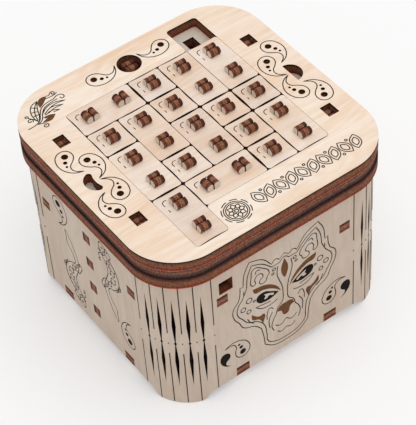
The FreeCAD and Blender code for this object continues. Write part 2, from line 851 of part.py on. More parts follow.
def make_case_ear(label, side):
    body = new_body(label)
    inner = named("ear_x") if side > 0 else -named("ear_x") - ply
    tab_low = wall_height - named("ear_tab_drop") - ply / 2
    tab_high = tab_low + ply
    sketch = sketch_on(body, "YZ_Plane", inner)
    add_outline(
        sketch,
        [
            (wall_half, tab_low - ply),
            (wall_half + ply / 2, tab_low - ply),
            (hinge_y + knuckle, hinge_z - knuckle / 2),
            (hinge_y + knuckle, hinge_z),
            (hinge_y, hinge_z + knuckle, knuckle),
            (hinge_y - knuckle, hinge_z, knuckle),
            (hinge_y - knuckle, hinge_z - knuckle / 2),
            (wall_half, hinge_z - knuckle),
            (wall_half, tab_high),
            (inner_half, tab_high),
            (inner_half, tab_low),
            (wall_half, tab_low),
        ],
    )
    add_circle(sketch, hinge_y, hinge_z, named("pin_radius"))
    pad(body, sketch, ply)
    return body


def make_hinge_pin():
    pin = doc.addObject("Part::Cylinder", "hinge_pin")
    pin.Label = "hinge_pin"
    half = ear_side(1)[1] + ply / 4
    pin.setExpression("Radius", named("pin_radius").text)
    pin.setExpression("Height", (half * 2).text)
    pin.Placement = FreeCAD.Placement(
        FreeCAD.Vector(0, 0, 0), FreeCAD.Rotation(FreeCAD.Vector(0, 1, 0), 90)
    )
    pin.setExpression("Placement.Base.x", (-half).text)
    pin.setExpression("Placement.Base.y", (hinge_y + tray_shift).text)
    pin.setExpression("Placement.Base.z", hinge_z.text)
    return pin


# Assembly ------------------------------------------------------------------------------------------

def lock_cell():
    return cell_x(0), cell_y(ROWS)


def is_lock(x, y):
    lock_x, lock_y = lock_cell()
    return abs(x.value - lock_x.value) < 0.1 and abs(y.value - lock_y.value) < 0.1


def make_pieces():
    pieces = [make_top_plate(), make_tray_floor(), make_lid_rim()]
    pieces += [make_tile(tile) for tile in TILES]

    tile_clip = make_clip("tile_clip", lid_top)
    tile_clip.setExpression("Placement.Base.y", "0")
    washer = make_washer()
    washer.setExpression("Placement.Base.y", "0")
    plate_clip = make_clip("plate_clip", top_bottom)
    plate_clip.setExpression("Placement.Base.y", "0")
    doc.recompute()

    first = list(tile_cells(FIRST_TILE))
    others = [place for tile in TILES if tile != FIRST_TILE for place in tile_cells(tile)]
    clipped = [place for place in others if not is_lock(place[0], place[1])]
    corners = [
        (named("lid_clip_x") * side_x, named("lid_clip_y") * side_y, False)
        for side_x in (-1, 1)
        for side_y in (-1, 1)
    ]
    pieces.append(copies("first_tile_clips", tile_clip, first))
    pieces.append(copies("first_tile_washers", washer, first))
    pieces.append(copies("tile_clips", tile_clip, clipped))
    pieces.append(copies("tile_washers", washer, others))
    pieces.append(copies("lid_clips", plate_clip, corners))

    tongue = make_clip("lock_tongue", lid_top, ledge_top + named("tongue_gap"))
    tongue.setExpression("Placement.Base.x", lock_cell()[0].text)
    tongue.setExpression("Placement.Base.y", (lock_cell()[1] + tray_shift).text)
    well_clip = make_clip("well_clip", floor_bottom + named("well_lift"))
    well_clip.setExpression("Placement.Base.y", (well_y + tray_shift).text)
    pieces += [tongue, well_clip]

    pieces += [make_wall_wrap(), make_back_wall(), make_base_plate(), make_divider()]
    pieces += [make_ledge("front_ledge", -1), make_ledge("back_ledge", 1)]
    for name, side in (("left", -1), ("right", 1)):
        pieces.append(make_lid_ear(f"lid_ear_{name}", side))
        pieces.append(make_case_ear(f"case_ear_{name}", side))
    pieces.append(make_hinge_pin())
    return pieces


def write_pieces(pieces):
    doc.recompute()
    for item in doc.Objects:
        if "Invalid" in item.State or "Error" in item.State:
            raise RuntimeError(f"{item.Label} failed: {item.State}")
    os.makedirs("parts", exist_ok=True)
    for piece in pieces:
        if piece.Shape.isNull() or not piece.Shape.isValid():
            raise RuntimeError(f"{piece.Label} has no valid shape")
        piece.Shape.exportStep(f"parts/{piece.Label}.step")


write_pieces(make_pieces())
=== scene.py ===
import json
import math

import bpy
from mathutils import Matrix, Vector


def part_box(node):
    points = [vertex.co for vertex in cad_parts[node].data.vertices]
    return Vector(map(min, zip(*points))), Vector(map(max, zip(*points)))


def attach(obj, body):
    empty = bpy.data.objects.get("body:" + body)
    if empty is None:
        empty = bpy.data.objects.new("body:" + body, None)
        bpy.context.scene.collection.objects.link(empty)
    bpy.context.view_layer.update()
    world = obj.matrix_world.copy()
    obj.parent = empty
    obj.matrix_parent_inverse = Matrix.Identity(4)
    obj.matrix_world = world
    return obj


# Looks of a plywood puzzle box: materials for the cut plates, and the lines and inlays burnt into
# their faces. Ornaments are drawn in millimetres, on the lid about its middle and on a wall across
# from its middle and up from the feet. The place of each face comes from the frame.

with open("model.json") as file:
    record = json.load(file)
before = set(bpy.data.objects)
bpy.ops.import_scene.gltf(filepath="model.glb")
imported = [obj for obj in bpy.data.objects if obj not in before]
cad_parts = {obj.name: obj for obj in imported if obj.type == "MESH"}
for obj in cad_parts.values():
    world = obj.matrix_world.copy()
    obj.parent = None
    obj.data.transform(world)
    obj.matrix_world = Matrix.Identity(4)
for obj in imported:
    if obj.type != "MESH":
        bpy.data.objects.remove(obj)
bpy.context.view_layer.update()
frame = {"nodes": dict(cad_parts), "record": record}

MM = 0.001
SHARP = "sharp"

lid_low, lid_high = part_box("top_plate")
wall_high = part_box("wall_wrap")[1]
tile_low, tile_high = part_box("first_tile")
MIDDLE = (lid_low + lid_high) / 2
TOP = lid_high.z
PLY = (lid_high.z - lid_low.z) / MM
# The first tile's middle is two cells to the right of the tray's middle.
CELL = (tile_low.x + tile_high.x) / 4 / MM
WALL_HALF = wall_high.x / MM
WALL_TOP = wall_high.z / MM
LID_HALF = lid_high.x / MM
# Outer radii of the rounded corners in millimetres, and the angle between two bending slots.
WALL_CORNER = 16.5
LID_CORNER = 18.0
SLOT_STEP = 15.8


# Shader helpers ------------------------------------------------------------------------------------

class Tree:
    """A node tree in which a value or another node's socket can be given for any input."""

    def __init__(self, tree):
        self.tree = tree
        self.tree.nodes.clear()

    def node(self, kind, inputs=None, **settings):
        made = self.tree.nodes.new(kind)
        for name, value in settings.items():
            setattr(made, name, value)
        for name, value in (inputs or {}).items():
            if isinstance(value, bpy.types.NodeSocket):
                self.tree.links.new(value, made.inputs[name])
            else:
                made.inputs[name].default_value = value
        return made

    def math(self, operation, first, second=0.0, third=0.0, clamp=False):
        inputs = {0: first, 1: second, 2: third}
        return self.node("ShaderNodeMath", inputs, operation=operation, use_clamp=clamp).outputs[0]

    def vector(self, operation, first, second=(0, 0, 0)):
        made = self.node("ShaderNodeVectorMath", {0: first, 1: second}, operation=operation)
        return made.outputs["Value" if operation == "LENGTH" else "Vector"]

    def noise(self, vector, scale, detail=3.0, roughness=0.6, distortion=0.0):
        """Noise whose scale is given for each axis."""
        inputs = {"Vector": self.vector("MULTIPLY", vector, scale), "Scale": 1.0, "Detail": detail}
        inputs.update({"Roughness": roughness, "Distortion": distortion})
        return self.node("ShaderNodeTexNoise", inputs).outputs["Fac"]

    def ramp(self, factor, stops):
        made = self.node("ShaderNodeValToRGB", {"Fac": factor})
        elements = made.color_ramp.elements
        while len(elements) < len(stops):
            elements.new(0.5)
        for element, (position, colour) in zip(elements, stops):
            element.position = position
            element.color = (*colour, 1)
        return made.outputs["Color"]

    def mix(self, factor, first, second, blend="MIX"):
        made = self.node("ShaderNodeMix", {0: factor}, data_type="RGBA", blend_type=blend)
        for socket, value in ((made.inputs[6], first), (made.inputs[7], second)):
            if isinstance(value, bpy.types.NodeSocket):
                self.tree.links.new(value, socket)
            else:
                socket.default_value = (*value, 1)
        return made.outputs[2]

    def remap(self, value, low, high, to_low, to_high):
        inputs = {"Value": value, "From Min": low, "From Max": high}
        inputs.update({"To Min": to_low, "To Max": to_high})
        return self.node("ShaderNodeMapRange", inputs).outputs["Result"]


def new_group(name, inputs, outputs):
    group = bpy.data.node_groups.new(name, "ShaderNodeTree")
    for direction, sockets in (("INPUT", inputs), ("OUTPUT", outputs)):
        for label, kind, start in sockets:
            socket = group.interface.new_socket(label, in_out=direction, socket_type=kind)
            if start is not None:
                socket.default_value = start
    return group


# Scales of the noises per millimetre, where X runs along the grain
FIGURE_SCALE = (0.011, 0.05, 0.05)
STREAK_SCALE = (0.03, 0.8, 0.8)
CLOUD_SCALE = (0.025, 0.06, 0.06)
PORE_SCALE = (0.35, 7.0, 7.0)
RING_COUNT = 26.0
RING_SHARE = 0.11
STREAK_SHARE = 0.3
CLOUD_SHARE = 0.6


def grain_group():
    """Sanded birch: slow changes of tone, faint ring lines drawn out along X, and fine pores. Its
    vector is in millimetres."""
    group = new_group(
        "birch_grain",
        [("Vector", "NodeSocketVector", None), ("Shift", "NodeSocketFloat", 0.0)],
        [("Tone", "NodeSocketFloat", None), ("Pores", "NodeSocketFloat", None)],
    )
    tree = Tree(group)
    given = tree.node("NodeGroupInput").outputs
    shift = tree.node("ShaderNodeCombineXYZ", {"X": given["Shift"], "Y": given["Shift"]})
    moved = tree.vector("ADD", given["Vector"], shift.outputs[0])
    figure = tree.noise(moved, FIGURE_SCALE, detail=2.5, roughness=0.5, distortion=0.8)
    rings = tree.math("PINGPONG", tree.math("MULTIPLY", figure, RING_COUNT), 1.0)
    streaks = tree.noise(moved, STREAK_SCALE)
    cloud = tree.noise(moved, CLOUD_SCALE)
    tone = tree.math("MULTIPLY_ADD", rings, RING_SHARE, tree.math("MULTIPLY", streaks, STREAK_SHARE))
    tone = tree.math("MULTIPLY_ADD", cloud, CLOUD_SHARE, tone, clamp=True)
    pores = tree.noise(moved, PORE_SCALE)
    tree.node("NodeGroupOutput", {"Tone": tone, "Pores": pores})
    return group


SOOT_STREAK_SCALE = (0.9, 0.9, 0.25)
SPECK_SCALE = (1.9, 1.9, 1.2)


def scorch_group():
    """Soot on a laser-cut edge: streaks that run upright, and fine specks. Its vector is in
    millimetres."""
    group = new_group(
        "laser_scorch",
        [("Vector", "NodeSocketVector", None)],
        [("Streaks", "NodeSocketFloat", None), ("Specks", "NodeSocketFloat", None)],
    )
    tree = Tree(group)
    given = tree.node("NodeGroupInput").outputs
    streaks = tree.noise(given["Vector"], SOOT_STREAK_SCALE)
    specks = tree.noise(given["Vector"], SPECK_SCALE, roughness=0.75)
    tree.node("NodeGroupOutput", {"Streaks": streaks, "Specks": specks})
    return group


BIRCH = grain_group()
SCORCH = scorch_group()


# Plywood -------------------------------------------------------------------------------------------

def depth_up(tree, place, low):
    """Millimetres above the lower face of a level plate."""
    height = tree.node("ShaderNodeSeparateXYZ", {0: place}).outputs["Z"]
    return tree.math("SUBTRACT", height, low)


def depth_across(tree, place, low, axis="X"):
    """Millimetres from the first face of an upright plate."""
    side = tree.node("ShaderNodeSeparateXYZ", {0: place}).outputs[axis]
    return tree.math("SUBTRACT", side, low)


ABOVE_ALL = 1000


def depth_in_outline(tree, place, half, corner):
    """Millimetres in from the edge of a square with rounded corners, at any height."""
    centre = half - corner
    from_middle = tree.vector("SUBTRACT", place, (MIDDLE.x / MM, MIDDLE.y / MM, 0))
    past = tree.vector("SUBTRACT", tree.vector("ABSOLUTE", from_middle), (centre, centre, ABOVE_ALL))
    reach = tree.vector("LENGTH", tree.vector("MAXIMUM", past, (0, 0, 0)))
    return tree.math("SUBTRACT", corner, reach)


def depth_in_wall(tree, place, low):
    """Millimetres in from the walls' outer face."""
    return depth_in_outline(tree, place, WALL_HALF, WALL_CORNER)


def turned_tile_mask(tree, place):
    """1 over the two long tiles whose clips are cut from sheets that face front to back."""
    masks = []
    for node in ("long_tile_column_1_row_1", "long_tile_column_2_row_5"):
        low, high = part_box(node)
        half = (high - low) / 2 / MM
        middle = (high + low) / 2 / MM
        away = tree.vector("ABSOLUTE", tree.vector("SUBTRACT", place, middle))
        inside = tree.node("ShaderNodeSeparateXYZ", {0: tree.vector("SUBTRACT", half, away)})
        across = tree.math("GREATER_THAN", inside.outputs["X"], 0)
        along = tree.math("GREATER_THAN", inside.outputs["Y"], 0)
        masks.append(tree.math("MULTIPLY", across, along))
    return tree.math("ADD", *masks)


CELLS_OUT = 8


def depth_in_clip(tree, place, low):
    """Millimetres from the first face of the clip in each cell, counted from outside the tray."""
    parts = tree.node("ShaderNodeSeparateXYZ", {0: place}).outputs
    across = tree.math("ADD", parts["X"], PLY / 2 + CELL * CELLS_OUT)
    along = tree.math("ADD", parts["Y"], PLY / 2 + CELL * CELLS_OUT - MIDDLE.y / MM)
    turned = turned_tile_mask(tree, place)
    chosen = tree.node("ShaderNodeMix", {0: turned, 2: across, 3: along}, data_type="FLOAT")
    return tree.math("FLOORED_MODULO", chosen.outputs[0], CELL)


def depth_in_lid_clip(tree, place, low):
    """Millimetres from the inner face of the clips that hold the lid's plates."""
    side = tree.node("ShaderNodeSeparateXYZ", {0: place}).outputs["X"]
    return tree.math("SUBTRACT", tree.math("ABSOLUTE", side), low)


# Colours of the laser-cut edge through the sheet, from the face where its depth is counted from. The
# recessed plate's ramp also holds painted shade.
EDGE_PLATE = [
    (0.0, (0.32, 0.036, 0.008)),
    (0.12, (0.28, 0.038, 0.010)),
    (0.18, (0.07, 0.020, 0.010)),
    (0.27, (0.185, 0.060, 0.025)),
    (0.60, (0.21, 0.070, 0.029)),
    (0.79, (0.135, 0.045, 0.020)),
    (0.87, (0.012, 0.006, 0.004)),
    (1.0, (0.008, 0.005, 0.004)),
]
EDGE_RIM = EDGE_PLATE[:6] + [(0.90, (0.06, 0.016, 0.010)), (1.0, (0.05, 0.014, 0.009))]
# Outer edge of the recessed middle plate: a burnt brown middle band between dark bands of painted shade
# under the plates above and below it.
EDGE_RECESSED_SHADED = [
    (0.0, (0.035, 0.012, 0.008)),
    (0.14, (0.070, 0.036, 0.034)),
    (0.33, (0.085, 0.042, 0.038)),
    (0.44, (0.19, 0.070, 0.032)),
    (0.62, (0.215, 0.077, 0.035)),
    (0.72, (0.095, 0.046, 0.040)),
    (0.92, (0.065, 0.034, 0.034)),
    (1.0, (0.05, 0.012, 0.008)),
]
EDGE_CLIP = [
    (0.0, (0.12, 0.026, 0.011)),
    (0.12, (0.20, 0.055, 0.024)),
    (0.26, (0.07, 0.017, 0.008)),
    (0.40, (0.30, 0.125, 0.065)),
    (0.52, (0.21, 0.075, 0.036)),
    (0.62, (0.28, 0.110, 0.055)),
    (0.74, (0.08, 0.018, 0.008)),
    (1.0, (0.055, 0.012, 0.006)),
]

# Thickness of the pale face, and the width of the dark band round the lid's edge
FACE_SKIN = 0.03
DARK_BAND_WIDTH = 1.0
# Near-black painted shade inside the bending slots, and the margin that bounds where it lies
SLOT_SHADE = (0.022, 0.012, 0.009)
SLOT_MARGIN = 2.0
# Parts of each noise that show, and the shades that they turn into
TONE_RANGE = (0.33, 0.66)
PORE_RANGE = (0.28, 0.45)
PORE_SHADE = (0.86, 1.0)
SPECK_RANGE = (0.36, 0.62)
SPECK_SHADE = (0.5, 1.45)
LAYER_WANDER = 0.5


def new_material(name, stretch=(1, 1, 1)):
    """A material's tree, and the place on the object in millimetres."""
    material = bpy.data.materials.new(name)
    material.use_nodes = True
    tree = Tree(material.node_tree)
    coordinates = tree.node("ShaderNodeTexCoord").outputs["Object"]
    place = tree.vector("MULTIPLY", coordinates, tuple(share / MM for share in stretch))
    return material, tree, place


def surface(tree, inputs):
    shader = tree.node("ShaderNodeBsdfPrincipled", inputs)
    tree.node("ShaderNodeOutputMaterial", {"Surface": shader.outputs[0]})


def in_bent_corner(tree, place):
    """1 far out along both X and Y, where the wall bends, between its top and bottom edges."""
    parts = tree.node("ShaderNodeSeparateXYZ", {"Vector": place}).outputs
    nearer = tree.math("MINIMUM", tree.math("ABSOLUTE", parts["X"]), tree.math("ABSOLUTE", parts["Y"]))
    bent = tree.math("GREATER_THAN", nearer, WALL_HALF - WALL_CORNER - SLOT_MARGIN)
    above = tree.math("GREATER_THAN", parts["Z"], SLOT_MARGIN)
    below = tree.math("LESS_THAN", parts["Z"], WALL_TOP - SLOT_MARGIN)
    return tree.math("MULTIPLY", bent, tree.math("MULTIPLY", above, below))


def plywood(
    name, light, dark, depth, low=0.0, grain_turn=(0, 0, 0), shift=0.0, edge=EDGE_PLATE, dark_outline_band=False,
    shaded_slots=False,
):
    """Plywood with sanded faces and scorched edges, whose edge ramp can also hold painted shade.
    depth finds how deep in the sheet a point lies, grain_turn brings the grain's direction to X, the
    first flag gives the faces round the lid's edge a dark band in the edge colours, and the second
    flag paints shade, near black, into the cuts in the bent corners."""
    material, tree, place = new_material(name)
    sheet = depth(tree, place, low)
    off_centre = tree.math("ABSOLUTE", tree.math("SUBTRACT", sheet, PLY / 2))
    on_face = tree.math("GREATER_THAN", off_centre, PLY / 2 - FACE_SKIN)
    # Faces within the band round the lid's edge are left out of the pale face, and take the edge colours.
    if dark_outline_band:
        inside = depth_in_outline(tree, place, LID_HALF, LID_CORNER)
        deep_inside = tree.math("GREATER_THAN", inside, DARK_BAND_WIDTH)
        on_face = tree.math("MULTIPLY", on_face, deep_inside)

    turned = tree.node("ShaderNodeMapping", {"Vector": place, "Rotation": grain_turn}).outputs[0]
    grain = tree.node("ShaderNodeGroup", {"Vector": turned, "Shift": shift}, node_tree=BIRCH)
    tone = tree.remap(grain.outputs["Tone"], *TONE_RANGE, 0.0, 1.0)
    birch = tree.ramp(tone, [(0.0, dark), (1.0, light)])
    pores = tree.remap(grain.outputs["Pores"], *PORE_RANGE, *PORE_SHADE)
    birch = tree.mix(1.0, birch, pores, "MULTIPLY")

    soot = tree.node("ShaderNodeGroup", {"Vector": place}, node_tree=SCORCH)
    wander = tree.math("MULTIPLY_ADD", soot.outputs["Streaks"], LAYER_WANDER, -LAYER_WANDER / 2)
    layer = tree.math("DIVIDE", tree.math("ADD", sheet, wander), PLY, clamp=True)
    # Burnt edge colours through the sheet; the recessed plate's ramp also holds painted shade.
    burn_and_shade = tree.ramp(layer, edge)
    # Edges further in than that band take the plain plate's edge colours.
    if dark_outline_band:
        burn_and_shade = tree.mix(deep_inside, burn_and_shade, tree.ramp(layer, EDGE_PLATE))
    # Painted shade, near black, in the narrow bending slots, in place of the burnt edge colour.
    if shaded_slots:
        burn_and_shade = tree.mix(in_bent_corner(tree, place), burn_and_shade, SLOT_SHADE)
    specks = tree.remap(soot.outputs["Specks"], *SPECK_RANGE, *SPECK_SHADE)
    burn_and_shade = tree.mix(1.0, burn_and_shade, specks, "MULTIPLY")

    height = tree.math("MULTIPLY_ADD", soot.outputs["Specks"], 0.5, grain.outputs["Pores"])
    bump = tree.node("ShaderNodeBump", {"Height": height, "Strength": 0.2, "Distance": 0.0001})
    rough = tree.remap(on_face, 0.0, 1.0, 0.82, 0.6)
    inputs = {"Base Color": tree.mix(on_face, burn_and_shade, birch), "Roughness": rough}
    inputs.update({"Specular IOR Level": 0.3, "Normal": bump.outputs[0]})
    surface(tree, inputs)
    return material


def plain_burn(name, colour, deep):
    """Wood blackened or browned by the laser, in lines, dots and inlaid shapes."""
    material, tree, place = new_material(name)
    soot = tree.node("ShaderNodeGroup", {"Vector": place}, node_tree=SCORCH)
    tone = tree.remap(soot.outputs["Specks"], 0.35, 0.65, 0.0, 1.0)
    rough = tree.remap(soot.outputs["Streaks"], 0.3, 0.7, 0.7, 0.9)
    mixed = tree.mix(tone, deep, colour)
    surface(tree, {"Base Color": mixed, "Roughness": rough, "Specular IOR Level": 0.1})
    return material


def dowel(name):
    """Turned birch rod with long grain."""
    material, tree, place = new_material(name, stretch=(1, 2.5, 2.5))
    grain = tree.node("ShaderNodeGroup", {"Vector": place}, node_tree=BIRCH)
    colour = tree.ramp(grain.outputs["Tone"], [(0.2, (0.55, 0.36, 0.2)), (0.8, (0.78, 0.58, 0.37))])
    bump = tree.node(
        "ShaderNodeBump", {"Height": grain.outputs["Pores"], "Strength": 0.3, "Distance": 0.0001}
    )
    rough = tree.remap(grain.outputs["Pores"], 0.2, 0.8, 0.5, 0.65)
    surface(tree, {"Base Color": colour, "Roughness": rough, "Normal": bump.outputs[0]})
    return material


CREAM = (0.98, 0.85, 0.725)
CREAM_DARK = (0.87, 0.625, 0.44)
# The walls' birch is painted darker and greyer than the lid's, as shade on the upright sides.
SHADED_WALL_LIGHT = (0.64, 0.53, 0.435)
SHADED_WALL_DARK = (0.545, 0.42, 0.325)
INNER_LIGHT = (0.73, 0.65, 0.56)
INNER_DARK = (0.62, 0.51, 0.40)
CHARRED = (0.30, 0.13, 0.07)
CHARRED_DARK = (0.16, 0.06, 0.03)
UPRIGHT = (0, math.radians(90), 0)
# How far each tile's grain lies from the last one's, and the tones that the tiles take in turn
TILE_SHIFT = 47.0
TILE_TONES = [
    (0.95, 0.96, 0.99), (0.90, 0.90, 0.93), (0.94, 0.93, 0.95), (0.96, 0.97, 1.0), (0.92, 0.90, 0.90),
]


def finish(node, material):
    for slot in frame["nodes"][node].material_slots:
        slot.material = material


def is_tile(node):
    return node.endswith("tile") or "_tile_column" in node


def low_of(node, axis):
    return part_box(node)[0][axis] / MM


def tinted(colour, tint):
    return tuple(a * b for a, b in zip(colour, tint))


def finish_plates():
    top = plywood("top_plate_birch", CREAM, CREAM_DARK, depth_up, low_of("top_plate", 2))
    finish("top_plate", top)
    for node, edge in (("tray_floor", EDGE_RECESSED_SHADED), ("lid_rim", EDGE_RIM)):
        plate = plywood(
            f"{node}_birch", INNER_LIGHT, INNER_DARK, depth_up, low_of(node, 2),
            shift=31.0, edge=edge, dark_outline_band=True,
        )
        finish(node, plate)
    tiles = sorted(node for node in frame["nodes"] if is_tile(node))
    for number, node in enumerate(tiles):
        tint = TILE_TONES[number % len(TILE_TONES)]
        shift = TILE_SHIFT * (number + 1)
        plate = plywood(
            f"{node}_birch", tinted(CREAM, tint), tinted(CREAM_DARK, tint), depth_up, low_of(node, 2),
            shift=shift,
        )
        finish(node, plate)
    wall = plywood("wall_birch", SHADED_WALL_LIGHT, SHADED_WALL_DARK, depth_in_wall, grain_turn=UPRIGHT, shaded_slots=True)
    for node in ("wall_wrap", "back_wall"):
        finish(node, wall)
    for node in ("base_plate", "front_ledge", "back_ledge", "tile_washers", "first_tile_washers"):
        plate = plywood(
            f"{node}_birch", INNER_LIGHT, INNER_DARK, depth_up, low_of(node, 2), shift=13.0, edge=EDGE_CLIP
        )
        finish(node, plate)
    divider = plywood(
        "divider_birch", INNER_LIGHT, INNER_DARK,
        lambda tree, place, low: depth_across(tree, place, low, "Y"),
        low_of("divider", 1), shift=71.0, edge=EDGE_CLIP,
    )
    finish("divider", divider)


def finish_clips_and_hinge():
    roll = plywood("clip_ply", INNER_LIGHT, INNER_DARK, depth_in_clip, edge=EDGE_CLIP)
    for node in ("tile_clips", "first_tile_clips", "lock_tongue"):
        finish(node, roll)
    well = plywood("well_clip_ply", CHARRED, CHARRED_DARK, depth_across, -PLY / 2, edge=EDGE_CLIP)
    finish("well_clip", well)
    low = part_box("lid_clips")[1].x / MM - PLY
    clip = plywood("lid_clip_ply", INNER_LIGHT, INNER_DARK, depth_in_lid_clip, low, edge=EDGE_CLIP)
    finish("lid_clips", clip)
    for node in ("case_ear_left", "case_ear_right", "lid_ear_left", "lid_ear_right"):
        finish(node, plywood(f"{node}_ply", INNER_LIGHT, INNER_DARK, depth_across, low_of(node, 0)))
    finish("hinge_pin", dowel("hinge_dowel"))


LINE_BURN = plain_burn("engraved_line", (0.036, 0.034, 0.030), (0.014, 0.013, 0.012))
BLACK_BURN = plain_burn("black_inlay", (0.016, 0.010, 0.008), (0.005, 0.003, 0.003))
BROWN_BURN = plain_burn("brown_inlay", (0.19, 0.085, 0.035), (0.11, 0.045, 0.018))
finish_plates()
finish_clips_and_hinge()


# Drawing on the faces ------------------------------------------------------------------------------

def lid_place():
    """From millimetres on the lid's top face to the frame."""
    return Matrix.Translation((MIDDLE.x, MIDDLE.y, TOP)) @ Matrix.Scale(MM, 4)


def wall_place(turn):
    """From (across, up, out) in millimetres on a wall to the frame: 0 is the front wall, 1 the right
    one, 2 the back one and 3 the left one."""
    front = Matrix(((MM, 0, 0, 0), (0, 0, -MM, -WALL_HALF * MM), (0, MM, 0, 0), (0, 0, 0, 1)))
    turned = Matrix.Rotation(math.radians(90 * turn), 4, "Z")
    return Matrix.Translation((MIDDLE.x, MIDDLE.y, 0)) @ turned @ front


def add_spline(curve, points, closed):
    """A smooth line through the points; a point marked SHARP keeps its corner."""
    spline = curve.splines.new("BEZIER")
    spline.bezier_points.add(len(points) - 1)
    for knot, point in zip(spline.bezier_points, points):
        knot.co = (point[0], point[1], 0)
        kind = "VECTOR" if point[-1] == SHARP else "AUTO"
        knot.handle_left_type = kind
        knot.handle_right_type = kind
    spline.use_cyclic_u = closed


def made_mesh(name, curve, place, material, body):
    piece = bpy.data.objects.new(name, curve)
    bpy.context.scene.collection.objects.link(piece)
    bpy.ops.object.select_all(action="DESELECT")
    piece.select_set(True)
    bpy.context.view_layer.objects.active = piece
    bpy.ops.object.convert(target="MESH")
    bpy.ops.object.mode_set(mode="EDIT")
    bpy.ops.mesh.select_all(action="SELECT")
    bpy.ops.mesh.remove_doubles(threshold=0.001)
    bpy.ops.mesh.normals_make_consistent(inside=False)
    bpy.ops.object.mode_set(mode="OBJECT")
    piece.data.transform(place)
    piece.data.materials.clear()
    piece.data.materials.append(material)
    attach(piece, body)
    return piece


LINE_WIDTH = 0.37
LINE_RISE = 0.035


def engrave(name, strokes, place, body, width=LINE_WIDTH):
    """Burnt lines, a little proud of the face. A stroke is (points, closed)."""
    curve = bpy.data.curves.new(name, "CURVE")
    curve.dimensions = "3D"
    curve.resolution_u = 5
    curve.bevel_depth = width / 2
    curve.bevel_resolution = 1
    curve.use_fill_caps = True
    for points, closed in strokes:
        add_spline(curve, points, closed)
    flat = Matrix.Diagonal((1, 1, LINE_RISE / (width / 2), 1))
    return made_mesh(name, curve, place @ flat, LINE_BURN, body)


def inlay(name, outlines, place, material, body):
    """Filled shapes, a little proud of the face."""
    curve = bpy.data.curves.new(name, "CURVE")
    curve.dimensions = "2D"
    curve.resolution_u = 6
    curve.fill_mode = "BOTH"
    curve.extrude = LINE_RISE
    for points in outlines:
        add_spline(curve, points, True)
    return made_mesh(name, curve, place, material, body)


CIRCLE_POINTS = 6


def circle(x, y, radius):
    angles = [math.tau * step / CIRCLE_POINTS for step in range(CIRCLE_POINTS)]
    return [(x + radius * math.cos(angle), y + radius * math.sin(angle)) for angle in angles]


def curl(x, y, radius, start, turns):
    """A spiral that ends at its middle; start is the direction of its outer end in degrees."""
    steps = max(3, round(abs(turns) * CIRCLE_POINTS))
    points = []
    for step in range(steps + 1):
        share = step / steps
        angle = math.radians(start + 360 * turns * share)
        reach = radius * (1 - 0.8 * share)
        points.append((x + reach * math.cos(angle), y + reach * math.sin(angle)))
    return points


def mirrored(points):
    return [(-point[0], *point[1:]) for point in points]


def moved(points, x, y, angle=0.0, size=1.0):
    """The points turned by angle in degrees, scaled and then moved."""
    cosine, sine = math.cos(math.radians(angle)) * size, math.sin(math.radians(angle)) * size
    return [
        (x + p[0] * cosine - p[1] * sine, y + p[0] * sine + p[1] * cosine, *p[2:]) for p in points
    ]


# Drop ornament: its head is at 0, 0, its tail lies along Y and its belly towards X. The holes are
# (x, y, radius).
DROP = [
    (0.0, -2.55), (2.3, -1.7), (3.75, 1.0), (3.85, 3.6), (2.8, 6.2), (1.0, 8.0), (-1.45, 8.95, SHARP),
    (0.5, 7.5), (1.15, 6.0), (0.6, 4.4), (-0.9, 3.2), (-2.2, 1.7), (-2.55, -0.1), (-1.75, -1.85),
]
DROP_HOLES = [(0.0, 0.0, 1.15), (1.27, 2.3, 0.7), (1.78, 4.05, 0.45)]


def drop_outline(x, y, across, along, size=1.0):
    return [
        (
            x + (across[0] * p[0] + along[0] * p[1]) * size,
            y + (across[1] * p[0] + along[1] * p[1]) * size,
            *p[2:],
        )
        for p in DROP
    ]


def drop_dots(x, y, across, along, size=1.0):
    for bend, reach, radius in DROP_HOLES:
        yield circle(
            x + (across[0] * bend + along[0] * reach) * size,
            y + (across[1] * bend + along[1] * reach) * size,
            radius * size,
        )


# Lid -----------------------------------------------------------------------------------------------

# Heads of the drops beside the finger holes and beside the round hole
OUTER_DROP = (40.1, 14.7)
INNER_DROP = (35.3, 9.2)
BACK_DROP = (13.35, 38.15)


def lid_drops():
    """Place and the two directions of each drop on the lid."""
    for side in (-1, 1):
        for end in (-1, 1):
            yield OUTER_DROP[0] * side, OUTER_DROP[1] * end, (side, 0), (0, -end)
            yield INNER_DROP[0] * side, INNER_DROP[1] * end, (-side, 0), (0, -end)
        yield BACK_DROP[0] * side, BACK_DROP[1], (0, -1), (-side, 0)


PETALS = 8
ROSETTE_RINGS = (0.6, 3.3, 3.95)
ROSETTE_REACH = 4.75


def rosette(x, y):
    """A round flower in two rings, with short arcs round it."""
    petal = [(0.0, 1.0, SHARP), (0.72, 1.9), (0.0, 2.9, SHARP), (-0.72, 1.9)]
    strokes = [(circle(x, y, radius), True) for radius in ROSETTE_RINGS]
    turn = 360 / PETALS
    for step in range(PETALS):
        strokes.append((moved(petal, x, y, turn * step), True))
    arc = [(ROSETTE_REACH * math.sin(a), ROSETTE_REACH * math.cos(a)) for a in (-0.27, 0.0, 0.27)]
    for step in range(PETALS):
        strokes.append((moved(arc, x, y, turn * step + turn / 2), False))
    return strokes


LEAF_LEAN = 20
INNER_LEAF = 0.58
BERRY_RISE = 2.2
BERRY_RADIUS = 0.4


def leaf_band(left, right, y, pitch):
    """A row of slanted double leaves with a berry between each two."""
    leaf = [(0.0, -3.1, SHARP), (1.7, -0.9), (1.3, 1.6), (0.0, 3.1, SHARP), (-1.7, 0.9), (-1.3, -1.6)]
    strokes = []
    count = round((right - left) / pitch)
    for step in range(count):
        x = left + pitch * (step + 0.5)
        side = -1 if step % 2 else 1
        strokes.append((moved(leaf, x, y, LEAF_LEAN * side), True))
        strokes.append((moved(leaf, x, y, LEAF_LEAN * side, INNER_LEAF), True))
        if step:
            strokes.append((circle(x - pitch / 2, y - BERRY_RISE * side, BERRY_RADIUS), True))
    return strokes


